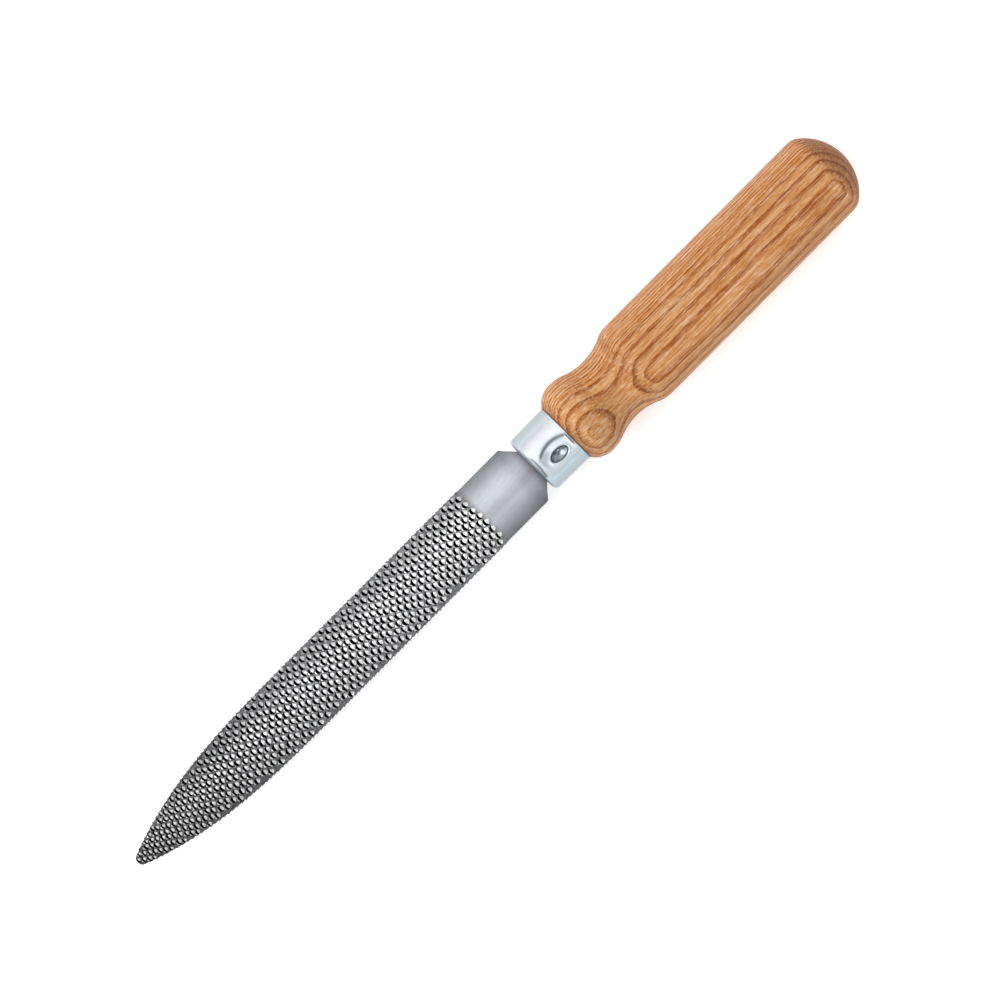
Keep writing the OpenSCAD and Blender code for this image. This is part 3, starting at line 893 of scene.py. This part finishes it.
class ShaderNet:
    """Short calls that add nodes to an emptied shader tree and return their outputs."""

    def __init__(self, tree):
        self.tree = tree
        tree.nodes.clear()

    def node(self, kind, inputs=None, **settings):
        """Adds a node. Inputs are values or sockets, keyed by name or index."""
        node = self.tree.nodes.new("ShaderNode" + kind)
        for key, setting in settings.items():
            setattr(node, key, setting)
        for key, value in (inputs or {}).items():
            if isinstance(value, bpy.types.NodeSocket):
                self.tree.links.new(value, node.inputs[key])
            elif value is not None:
                node.inputs[key].default_value = value
        return node

    def math(self, operation, first, second=None, clamp=False):
        return self.node("Math", {0: first, 1: second},
                         operation=operation, use_clamp=clamp).outputs[0]

    def add(self, first, second, clamp=False):
        return self.math("ADD", first, second, clamp)

    def sub(self, first, second):
        return self.math("SUBTRACT", first, second)

    def mul(self, first, second):
        return self.math("MULTIPLY", first, second)

    def coord(self):
        """Object coordinates in mm."""
        place = self.node("TexCoord").outputs["Object"]
        return self.node("VectorMath", {0: place, 1: (1000, 1000, 1000)},
                         operation="MULTIPLY").outputs[0]

    def split(self, vector):
        return tuple(self.node("SeparateXYZ", {0: vector}).outputs)

    def stretch(self, xyz, along, across, shift=None):
        """Coordinates scaled along X and across it, and shifted along X."""
        x, y, z = xyz
        x = self.mul(x, along)
        if shift is not None:
            x = self.add(x, shift)
        parts = {0: x, 1: self.mul(y, across), 2: self.mul(z, across)}
        return self.node("CombineXYZ", parts).outputs[0]

    def noise(self, vector, scale=1.0, detail=2, rough=0.5, w=None, dims="3D"):
        inputs = {"Vector": vector, "W": w, "Scale": scale, "Detail": detail,
                  "Roughness": rough}
        inputs = {key: value for key, value in inputs.items() if value is not None}
        return self.node("TexNoise", inputs, noise_dimensions=dims).outputs[0]

    def voronoi(self, vector):
        return self.node("TexVoronoi", {"Vector": vector, "Scale": 1.0}).outputs["Distance"]

    def ramp(self, value, stops, mode="LINEAR"):
        """Colour ramp with (position, colour) stops."""
        node = self.node("ValToRGB", {0: value})
        node.color_ramp.interpolation = mode
        elements = node.color_ramp.elements
        elements.remove(elements[-1])
        elements[0].position = stops[0][0]
        elements[0].color = rgba(stops[0][1])
        for position, color in stops[1:]:
            elements.new(position).color = rgba(color)
        return node.outputs[0]

    def mix(self, factor, first, second, mode="MIX"):
        return self.node("Mix", {0: factor, 6: rgba(first), 7: rgba(second)},
                         data_type="RGBA", blend_type=mode).outputs[2]

    def tint(self, color, factor):
        return self.mix(1.0, color, factor, "MULTIPLY")

    def map(self, value, span, to=(0.0, 1.0), smooth=False):
        """Maps the span of a value, clamped, to another span."""
        kind = "SMOOTHSTEP" if smooth else "LINEAR"
        return self.node("MapRange", dict(enumerate((value, *span, *to))),
                         interpolation_type=kind, clamp=True).outputs[0]

    def bump(self, height, strength, distance, normal=None):
        return self.node("Bump", {"Strength": strength, "Distance": distance,
                                  "Height": height, "Normal": normal}).outputs[0]

    def attribute(self, name):
        return self.node("Attribute", attribute_name=name).outputs["Fac"]

    def principled(self, inputs):
        surface = self.node("BsdfPrincipled", inputs).outputs[0]
        self.node("OutputMaterial", {0: surface})


def new_material(name):
    material = bpy.data.materials.new(name)
    material.use_nodes = True
    return material, ShaderNet(material.node_tree)


# ================================================================ MATERIALS
def steel_material():
    material, net = new_material("blade_steel")
    point = net.coord()
    xyz = x, y, _ = net.split(point)
    cloud = net.noise(point, scale=0.11, detail=4, rough=0.6)
    fine = net.noise(point, scale=4.5, detail=4, rough=0.65)
    grit = net.noise(point, scale=9.0, detail=3, rough=0.6)
    blot = net.noise(point, scale=1.35, detail=3, rough=0.62)
    streak = net.noise(net.stretch(xyz, along=0.25, across=1.6), detail=4, rough=0.6)
    # where the blade has been cut it is duller than on the smooth heel, and darker, partly with
    # painted shade among the teeth
    ragged = net.add(x, net.mul(net.sub(blot, 0.5), 2.4))
    cut = net.map(ragged, span=(HEEL_X - 0.9, HEEL_X + 0.5))
    far = net.map(x, span=(HEEL_X + 10, TIP_X))
    # painted shade: darker from the middle to both edges
    side = net.ramp(net.mul(net.math("ABSOLUTE", net.add(y, 0.6)), 0.1), [
        (0.0, 0.95), (0.30, 0.93), (0.50, 0.84), (0.70, 0.68), (0.85, 0.52), (0.95, 0.40),
        (1.0, 0.34)])
    plain = net.mix(net.map(cloud, span=(0.3, 0.7)), (0.515, 0.530, 0.575),
                    (0.585, 0.600, 0.640))
    plain = net.tint(plain, side)
    # painted shade on the heel next to the ferrule, where it slopes down into the tang, and a
    # little brighter further along
    plain = net.tint(plain, net.ramp(net.map(x, span=(SHOULDER_X - 2, HEEL_X)), [
        (0.0, 0.79), (0.12, 0.83), (0.27, 0.99), (0.46, 1.06), (0.75, 1.03), (1.0, 1.0)]))
    # shaded where it goes into the ferrule
    plain = net.tint(plain, net.ramp(net.map(x, span=(FRONT_X, FRONT_X + 2.4)), [
        (0.0, 0.46), (0.30, 0.70), (1.0, 1.0)]))
    # the heel is darker along a band near its middle
    plain = net.tint(plain, net.ramp(net.map(y, span=(-2.0, 4.0)), [
        (0.0, 1.0), (0.25, 0.95), (0.45, 0.86), (0.62, 0.88), (0.85, 1.04), (1.0, 1.04)]))
    plain = net.mix(net.map(streak, span=(0.35, 0.75)), plain,
                    net.tint(plain, (0.90, 0.905, 0.91)))
    plain = net.mix(net.map(fine, span=(0.35, 0.7)), net.tint(plain, (0.93, 0.93, 0.93)), plain)
    # ground between the teeth, with painted shade: darker towards the tip and towards both
    # edges
    root = net.mix(net.map(blot, span=(0.34, 0.66)), (0.17, 0.172, 0.182),
                   (0.56, 0.565, 0.585))
    root = net.tint(root, net.ramp(far, [
        (0.0, 0.75), (0.32, 0.65), (0.54, 0.565), (0.725, 0.37), (0.87, 0.29), (1.0, 0.17)]))
    root = net.mix(0.55, root, net.tint(root, side))
    base = net.mix(cut, plain, root)
    # painted highlight: the tops of the teeth are painted near white, and painted shade dims
    # them towards the tip
    crown = net.ramp(far, [
        (0.0, 0.94), (0.32, 0.90), (0.54, 0.875), (0.725, 0.815), (0.87, 0.70), (1.0, 0.62)])
    # the teeth near the two edges catch less light
    crown = net.tint(crown, net.ramp(net.map(y, span=(-10, 10)), [
        (0.0, 0.62), (0.14, 0.70), (0.26, 0.86), (0.38, 1.0), (0.80, 1.0), (0.92, 0.86),
        (1.0, 0.74)]))
    crown = net.mix(net.map(fine, span=(0.3, 0.7)), net.tint(crown, (0.88, 0.88, 0.88)), crown)
    gloss_highlight_span = (net.map(far, span=(0.0, 1.0), to=(0.20, 0.32)),
                  net.map(far, span=(0.0, 1.0), to=(0.58, 0.92)))
    gloss_highlight = net.map(net.attribute("top"), span=gloss_highlight_span, smooth=True)
    base = net.mix(gloss_highlight, base, crown)
    # painted shade: the pits are painted black
    pit_shade_span = (net.map(far, span=(0.6, 1.0), to=(0.12, 0.05)),
                 net.map(far, span=(0.6, 1.0), to=(0.42, 0.24)))
    pit_shade = net.map(net.attribute("pit"), span=pit_shade_span, smooth=True)
    base = net.mix(pit_shade, base, (0.001, 0.001, 0.0011))
    rough = net.add(0.44, net.mul(fine, 0.10))
    rough = net.sub(rough, net.mul(gloss_highlight, 0.20))
    rough = net.add(rough, net.mul(pit_shade, 0.35), clamp=True)
    grain = net.add(net.mul(fine, 0.5), net.mul(grit, 0.5))
    normal = net.bump(grain, strength=0.30, distance=0.00005)
    normal = net.bump(net.mul(blot, cut), strength=0.5, distance=0.00012, normal=normal)
    net.principled({
        "Base Color": base, "Roughness": rough, "Normal": normal,
        "Metallic": net.map(pit_shade, span=(0.0, 1.0), to=(1.0, 0.0)),
        "Specular IOR Level": net.map(pit_shade, span=(0.0, 1.0), to=(0.5, 0.0))})
    return material


def zinc_material():
    material, net = new_material("ferrule_zinc")
    point = net.coord()
    xyz = net.split(point)
    cloud = net.noise(point, scale=0.35, detail=4, rough=0.55)
    smear = net.noise(net.stretch(xyz, along=2.6, across=0.5), detail=4, rough=0.6)
    fine = net.noise(point, scale=6.0, detail=3, rough=0.6)
    ferrule_shade = net.attribute("ferrule_shade")
    facing = net.node("LayerWeight", {"Blend": 0.5}).outputs["Facing"]
    base = net.mix(net.map(cloud, span=(0.3, 0.7)), (0.73, 0.815, 0.865), (0.80, 0.87, 0.91))
    base = net.mix(net.map(smear, span=(0.45, 0.8), to=(0.0, 0.5)), base, (0.84, 0.87, 0.88))
    # painted shade: the flanks are darkened as if they reflected darker surroundings
    base = net.tint(base, net.ramp(facing, [
        (0.0, 1), (0.16, 1), (0.26, (0.86, 0.88, 0.885)), (0.31, (0.70, 0.73, 0.745)),
        (0.37, (0.52, 0.56, 0.58)), (0.53, (0.46, 0.49, 0.51)), (0.63, (0.41, 0.44, 0.455)),
        (0.85, (0.45, 0.48, 0.50))]))
    # bands of light and shade from -Y to +Y
    base = net.tint(base, net.ramp(net.map(xyz[1], span=(-10, 10)), [
        (0.05, (0.935, 0.93, 0.89)), (0.155, (1.0, 1.0, 0.95)), (0.24, (1.12, 1.07, 1.05)),
        (0.32, (1.02, 0.98, 0.97)), (0.39, (0.92, 0.91, 0.91)), (0.47, 1),
        (0.74, (1.0, 1.02, 1.02)), (0.83, (0.91, 0.94, 0.96)), (0.885, (0.88, 0.90, 0.90)),
        (0.94, (0.85, 0.87, 0.87))]))
    # painted shade from the crimp, the front edge and the inside of the cap, mottled a little
    mottled_shade = net.mul(ferrule_shade, net.map(fine, span=(0.2, 0.8), to=(0.85, 1.0)))
    base = net.mix(mottled_shade, base, (0.036, 0.055, 0.060))
    rough = net.add(0.22, net.mul(cloud, 0.12))
    rough = net.add(rough, net.mul(smear, 0.06))
    rough = net.add(rough, net.mul(ferrule_shade, 0.20), clamp=True)
    normal = net.bump(fine, strength=0.10, distance=0.00002)
    normal = net.bump(smear, strength=0.15, distance=0.00003, normal=normal)
    net.principled({
        "Base Color": base, "Roughness": rough, "Normal": normal,
        "Metallic": net.map(ferrule_shade, span=(0.0, 1.0), to=(1.0, 0.8))})
    return material


# ring boundaries of the wood, in mm along the ring normal from the handle's axis
RINGS = (
    -16.0, -14.4, -13.0, -11.4, -9.9, -8.3, -7.0, -5.5, -4.2, -2.7, -1.1, 0.7,
    2.1, 3.05, 4.15, 5.0, 6.35, 8.80, 11.05, 12.47, 13.45, 14.8, 16.0)
RING_TILT = math.radians(27.5)      # of the ring normal, from +Z towards +Y


def ring_depth(net, xyz):
    """Distance along the ring normal, with the rings bent and made wavy."""
    x, y, z = xyz
    depth = net.add(net.mul(y, math.sin(RING_TILT)), net.mul(z, math.cos(RING_TILT)))
    across = net.sub(net.mul(y, math.cos(RING_TILT)), net.mul(z, math.sin(RING_TILT)))
    depth = net.add(depth, net.mul(net.mul(across, across), -1 / 260.0))
    # wave lengths along and across the handle, roughness, size of the wave
    for along, across, rough, size in ((34.0, 12.0, 0.5, 0.75), (9.0, 3.2, 0.55, 0.24),
                                       (3.4, 0.8, 0.6, 0.10)):
        wave = net.noise(net.stretch(xyz, 1 / along, 1 / across), detail=2, rough=rough)
        depth = net.add(depth, net.mul(net.sub(wave, 0.5), size))
    return net.add(depth, net.map(x, span=(46.0, 55.0), to=(0.0, 0.14), smooth=True))


def ring_number(net, depth):
    """Number of the ring at a depth; the fraction is the place within it."""
    span = RINGS[-1] - RINGS[0]
    count = len(RINGS) - 1
    part = net.mul(net.sub(depth, RINGS[0]), 1 / span)
    node = net.node("FloatCurve", {"Value": part})
    points = node.mapping.curves[0].points
    points[0].location = (0.0, 0.0)
    points[1].location = (1.0, 1.0)
    for k, border in enumerate(RINGS[1:-1], 1):
        points.new((border - RINGS[0]) / span, k / count)
    for curve_point in points:
        curve_point.handle_type = "VECTOR"
    node.mapping.update()
    return net.mul(node.outputs[0], float(count))


def wood_material():
    material, net = new_material("handle_wood")
    xyz = x, y, _ = net.split(net.coord())
    # growth rings: nearly flat across the handle
    depth = ring_depth(net, xyz)
    ring = ring_number(net, depth)
    ring_tone = net.noise(None, scale=1.7, detail=0, w=net.math("FLOOR", ring), dims="1D")
    # early wood: starts sharply, fades into the late wood
    early = net.ramp(net.math("FRACT", ring), [
        (0.0, 0.40), (0.035, 1.0), (0.15, 0.96), (0.30, 0.55), (0.50, 0.16), (0.80, 0.0),
        (0.96, 0.02), (1.0, 0.40)])
    # fibres and pores run along the tool
    fibre = net.noise(net.stretch(xyz, along=0.085, across=1.7), detail=4, rough=0.72)
    streak = net.noise(net.stretch(xyz, along=0.035, across=0.8), detail=4, rough=0.6)
    fleck = net.noise(net.stretch(xyz, along=0.38, across=2.8), detail=3, rough=0.7)
    wide = net.voronoi(net.stretch(xyz, along=0.20, across=2.1))
    narrow = net.voronoi(net.stretch(xyz, along=0.42, across=3.4, shift=7.3))
    wide = net.mul(net.map(wide, span=(0.44, 0.20), smooth=True),
                   net.map(early, span=(0.12, 0.60)))
    narrow = net.mul(net.map(narrow, span=(0.36, 0.16), smooth=True),
                     net.map(early, span=(0.0, 0.5), to=(0.30, 1.0)))
    pore = net.math("MAXIMUM", wide, net.mul(narrow, 0.7))
    late_color = net.mix(net.map(streak, span=(0.3, 0.7)), (0.530, 0.247, 0.090),
                         (0.642, 0.349, 0.166))
    early_color = net.mix(net.map(fibre, span=(0.3, 0.7)), (0.325, 0.103, 0.0235),
                          (0.205, 0.053, 0.010))
    amount = net.mul(early, net.map(ring_tone, span=(0.2, 0.8), to=(0.84, 1.0)))
    # the early wood is faint in the outermost rings on top of the bulb
    bulb = net.map(x, span=(42.0, 50.0), smooth=True)
    faint = net.mul(bulb, net.map(depth, span=(11.9, 12.3), to=(0.0, 0.72), smooth=True))
    amount = net.mul(amount, net.sub(1.0, faint))
    color = net.mix(amount, late_color, early_color)
    # dark and pale fibres and flecks: texture, its span, strength, colour
    for texture, span, strength, shade in (
            (fibre, (0.50, 0.64), 0.52, (0.33, 0.108, 0.020)),
            (fibre, (0.49, 0.36), 0.54, (0.73, 0.510, 0.335)),
            (fleck, (0.53, 0.66), 0.50, (0.35, 0.120, 0.026)),
            (fleck, (0.46, 0.35), 0.36, (0.76, 0.555, 0.390))):
        color = net.mix(net.map(texture, span, to=(0.0, strength)), color, shade)
    color = net.mix(net.mul(pore, 0.62), color, (0.19, 0.060, 0.016))
    # darker where the surface faces along the handle: the end grain on the rounded butt soaks
    # up more finish, and this darkening also paints shade on the butt
    normal_x = net.split(net.node("NewGeometry").outputs["Normal"])[0]
    end_grain_and_shade = net.map(net.math("ABSOLUTE", normal_x), span=(0.12, 0.90), smooth=True)
    color = net.mix(net.mul(end_grain_and_shade, 0.85), color, net.tint(color, (0.53, 0.44, 0.39)))
    # tone through the rings, towards the top
    color = net.tint(color, net.ramp(net.map(depth, span=(0.0, 14.0)), [
        (0.0, 1.02), (0.36, 0.99), (0.64, 0.94), (0.86, 0.94), (0.92, 1.05), (1.0, 1.05)]))
    # the darker the wood, the warmer its colour: gain and power of red, green and blue
    channels = net.node("SeparateColor", {0: color}).outputs
    warmed = {}
    for i, (gain, power) in enumerate(((0.92, 1.03), (1.10, 1.21), (2.05, 1.52))):
        warmed[i] = net.mul(net.math("POWER", channels[i], power), gain)
    color = net.node("CombineColor", warmed).outputs[0]
    # the bulb is a little paler than the grip
    color = net.tint(color, net.ramp(net.map(x, span=(48.0, RIM_X)), [
        (0.0, 1.0), (0.45, (1.02, 1.03, 1.03)), (0.66, (1.02, 1.06, 1.08)),
        (0.82, (1.20, 1.36, 1.46)), (1.0, (1.30, 1.50, 1.62))]))
    # painted shade on the +Y side of the bulb
    color = net.mix(bulb, color, net.tint(color, net.ramp(net.map(y, span=(-10, 10)), [
        (0.0, 1.0), (0.46, 1.0), (0.58, 0.88), (0.75, 0.87), (1.0, 0.90)])))
    # shadowed line where the wood meets the ferrule
    seam = net.map(x, span=(RIM_X - 0.42, RIM_X - 0.16))
    color = net.mix(net.mul(seam, 0.72), color, (0.06, 0.035, 0.025))
    rough = net.add(0.48, net.mul(pore, 0.25))
    rough = net.add(rough, net.mul(fibre, 0.12))
    relief = net.sub(net.mul(fibre, 0.30), net.mul(pore, 0.8))
    relief = net.sub(relief, net.mul(early, 0.18))
    net.principled({
        "Base Color": color, "Roughness": rough,
        "Normal": net.bump(relief, strength=0.45, distance=0.00012),
        "Specular IOR Level": 0.22, "Coat Weight": 0.03, "Coat Roughness": 0.35})
    return material


def floor_material():
    material, net = new_material("studio_floor")
    cloud = net.noise(net.coord(), scale=0.004, detail=2, rough=0.5)
    # lit from below like a light table, so the shadow stays faint
    net.principled({
        "Base Color": net.mix(cloud, (0.90, 0.90, 0.90), (0.92, 0.92, 0.92)),
        "Roughness": 0.85, "Specular IOR Level": 0.1,
        "Emission Color": (1, 1, 1, 1), "Emission Strength": 0.30})
    return material


# ================================================================ STUDIO
FLOOR_HALF = 4000.0
FLOOR_CELLS = 12
FLOOR_GAP = 0.15            # below the lowest point of the tool
CAMERA_HEIGHT = 1.5         # metres
CAMERA_CENTRE = (0.0899, 0.00023)
CAMERA_RIGHT = (-0.70542, 0.70879, 0.0)
VIEW_WIDTH = 0.2759         # metres seen across the picture, at height 0
SENSOR = 36.0


def build_floor(z):
    side = FLOOR_CELLS + 1
    ticks = [-FLOOR_HALF + 2 * FLOOR_HALF * i / FLOOR_CELLS for i in range(side)]
    verts = [(x, y, z) for x in ticks for y in ticks]
    faces = [(i * side + j, (i + 1) * side + j, (i + 1) * side + j + 1, i * side + j + 1)
             for i in range(FLOOR_CELLS) for j in range(FLOOR_CELLS)]
    floor = new_mesh("studio_floor", verts, faces)
    floor.data.materials.append(floor_material())
    return floor


def build_world():
    world = bpy.data.worlds.new("studio")
    world.use_nodes = True
    net = ShaderNet(world.node_tree)
    direction = net.node("TexCoord").outputs["Generated"]

    def towards(vector):
        return net.node("VectorMath", {0: direction, 1: Vector(vector).normalized()},
                        operation="DOT_PRODUCT").outputs["Value"]

    light = net.ramp(towards((0.0, -0.30, 0.95)), [
        (0.0, (0.70, 0.70, 0.705)), (0.30, (0.72, 0.72, 0.72 * 1.01)),
        (0.50, (0.75, 0.75, 0.75 * 1.01)), (0.75, (0.82, 0.82, 0.82 * 1.01)),
        (0.90, (0.90, 0.90, 0.90 * 1.01)), (1.0, (0.98, 0.98, 0.98))], mode="EASE")
    # soft panels of light: direction, cosines of the outer and inner border, brightness
    for vector, outer, inner, amount in (((-0.60, -0.10, 0.79), 0.90, 0.975, 0.85),
                                         ((0.0, -0.64, 0.77), 0.90, 0.99, 0.26)):
        panel = net.map(towards(vector), span=(outer, inner), to=(0.0, amount), smooth=True)
        light = net.node("VectorMath", {0: light, 1: panel}, operation="ADD").outputs[0]
    lit = net.node("Background", {0: light, 1: 1.0}).outputs[0]
    # seen directly the surroundings are white, like the floor
    white = net.node("Background", {0: (1, 1, 1, 1)}).outputs[0]
    direct = net.node("LightPath").outputs["Is Camera Ray"]
    mixed = net.node("MixShader", {0: direct, 1: lit, 2: white}).outputs[0]
    net.node("OutputWorld", {0: mixed})
    return world


def area_light(name, location, target, size, power):
    light = bpy.data.lights.new(name, "AREA")
    light.shape = "RECTANGLE"
    light.size, light.size_y = size
    light.energy = power
    obj = bpy.data.objects.new(name, light)
    bpy.context.scene.collection.objects.link(obj)
    obj.location = location
    obj.rotation_mode = "QUATERNION"
    obj.rotation_quaternion = (target - Vector(location)).to_track_quat("-Z", "Y")


def build_camera():
    """Camera looking straight down, turned so that the tool lies diagonally."""
    data = bpy.data.cameras.new("camera")
    camera = bpy.data.objects.new("camera", data)
    bpy.context.scene.collection.objects.link(camera)
    data.sensor_width = SENSOR
    data.sensor_fit = "HORIZONTAL"
    data.lens = SENSOR * CAMERA_HEIGHT / VIEW_WIDTH
    data.clip_start, data.clip_end = 0.05, 20
    right = Vector(CAMERA_RIGHT).normalized()
    back = Vector((0, 0, 1))
    up = back.cross(right)
    place = (*CAMERA_CENTRE, CAMERA_HEIGHT)
    rows = [(right[i], up[i], back[i], place[i]) for i in range(3)]
    camera.matrix_world = Matrix((*rows, (0, 0, 0, 1)))
    return camera


# ================================================================ ASSEMBLE
blade = build_blade()
ferrule = build_ferrule()
handle = build_handle()

for obj, material, slot, node in (
        (blade, steel_material(), "blade_steel", "blade"),
        (ferrule, zinc_material(), "ferrule_zinc", "ferrule"),
        (handle, wood_material(), "handle_wood", "handle")):
    obj.data.materials.append(material)
    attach(obj, "root")
    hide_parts(node)
    # the CAD piece gets the material too, whether or not it has slots yet
    cad = frame["nodes"][node]
    if len(cad.material_slots):
        for cad_slot in cad.material_slots:
            cad_slot.material = material
    else:
        cad.data.materials.append(material)

tool_lo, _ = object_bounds()
build_floor(tool_lo.z * MM_PER_M - FLOOR_GAP)

scene = bpy.context.scene
scene.view_settings.view_transform = "Standard"
scene.view_settings.look = "None"
scene.view_settings.exposure = 0.0
scene.view_settings.gamma = 1.0
scene.world = build_world()

blade_middle = Vector((0.09, 0.0, 0.0))
area_light("key", (1.00, -0.45, 1.00), blade_middle, size=(1.0, 0.9), power=13.0)
area_light("fill", (0.80, 0.80, 1.00), blade_middle, size=(0.8, 0.8), power=3.0)
scene.camera = build_camera()
